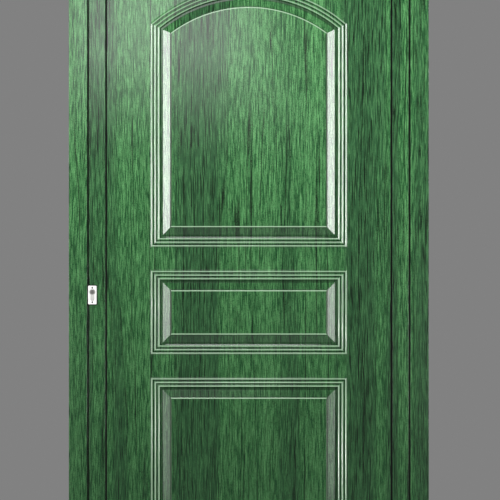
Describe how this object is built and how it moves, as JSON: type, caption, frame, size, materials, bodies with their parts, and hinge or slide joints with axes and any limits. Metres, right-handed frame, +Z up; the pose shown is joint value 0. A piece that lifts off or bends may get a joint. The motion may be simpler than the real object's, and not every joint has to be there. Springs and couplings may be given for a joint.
{
  "type": "panelled front door",
  "caption": "Panelled front door in its frame: flush green leaf with arched and rectangular raised fields, keyhole plate outside, lever handle and hinges inside.",
  "frame": {"origin": "floor level, midway between the jambs and midway through the frame's depth", "axes": "+X to the right seen from outside, towards the hinges; +Y from outside into the house; +Z up"},
  "size_m": [1, 0.1314, 2.1],
  "materials": {
    "green_finish": "satin wood-grain film",
    "black_rubber": "matt",
    "steel": "brushed",
    "bright_nickel": "satin nickel",
    "aluminium": "mill",
    "foam": "rigid foam",
    "black_nylon": "plain"
  },
  "bodies": {
    "frame": {"frame_lock_jamb": "green_finish", "frame_hinge_jamb": "green_finish", "frame_head": "green_finish", "frame_corner_cleats": "aluminium", "threshold": "aluminium", "outer_rebate_seal": "black_rubber", "strike_plate": "steel", "strike_screws": "steel", "hinge_frame_leaf_bottom": "steel", "hinge_frame_leaf_middle": "steel", "hinge_frame_leaf_top": "steel", "hinge_frame_screws": "steel", "hinge_pin_bottom": "steel", "hinge_pin_middle": "steel", "hinge_pin_top": "steel"},
    "lever": {"lever_handle": "bright_nickel", "handle_spindle": "steel", "lock_follower": "steel"},
    "latch": {"latch_bolt": "steel"},
    "key_plug": {"outer_plug": "bright_nickel", "cylinder_cam": "bright_nickel", "thumb_turn": "bright_nickel"},
    "locking_bolt": {"dead_bolt": "steel"},
    "leaf": {"sash_lock_stile": "green_finish", "sash_hinge_stile": "green_finish", "sash_top_rail": "green_finish", "sash_bottom_rail": "green_finish", "outer_panel_skin": "green_finish", "inner_panel_skin": "green_finish", "glazing_bead_left": "green_finish", "glazing_bead_right": "green_finish", "glazing_bead_top": "green_finish", "glazing_bead_bottom": "green_finish", "inner_rebate_seal": "black_rubber", "bottom_seal": "black_rubber", "panel_outer_gasket": "black_rubber", "panel_inner_gasket": "black_rubber", "escutcheon_pad": "black_rubber", "lock_case": "steel", "lock_cover": "steel", "lock_faceplate": "steel", "faceplate_screws": "steel", "latch_spring": "steel", "cylinder_screw": "steel", "hinge_sash_screws": "steel", "hinge_sash_leaf_bottom": "steel", "hinge_sash_leaf_middle": "steel", "hinge_sash_leaf_top": "steel", "hinge_caps": "steel", "cylinder_body": "bright_nickel", "outer_escutcheon": "bright_nickel", "escutcheon_screws": "bright_nickel", "handle_backplate": "bright_nickel", "backplate_screws": "bright_nickel", "sash_corner_cleats": "aluminium", "panel_core": "foam", "panel_packers": "black_nylon", "hinge_bushes": "black_nylon"}
  },
  "joints": [
    {"name": "leaf_swing", "type": "hinge", "parent": "frame", "child": "leaf", "pos_m": [0.473, 0.046, 1.05], "axis": [0, 0, -1], "range_deg": [0, 100]},
    {"name": "lever_turn", "type": "hinge", "parent": "leaf", "child": "lever", "pos_m": [-0.4345, 0.045, 1.093], "axis": [0, 1, 0], "range_deg": [0, 40], "stiffness_Nm_per_rad": 2, "springref_deg": -20.05},
    {"name": "latch_slide", "type": "slide", "parent": "leaf", "child": "latch", "axis": [1, 0, 0], "range_m": [0, 0.012], "deforming": ["latch_spring"]},
    {"name": "key_turn", "type": "hinge", "parent": "leaf", "child": "key_plug", "pos_m": [-0.4345, 0, 1.008], "axis": [0, -1, 0], "range_deg": [0, 360]},
    {"name": "bolt_slide", "type": "slide", "parent": "leaf", "child": "locking_bolt", "axis": [-1, 0, 0], "range_m": [0, 0.02]}
  ],
  "couplings": [
    {"joint": "latch_slide", "follows": "lever_turn", "m_per_rad": 0.017188},
    {"joint": "bolt_slide", "follows": "key_turn", "m_per_rad": 0.003182}
  ]
}
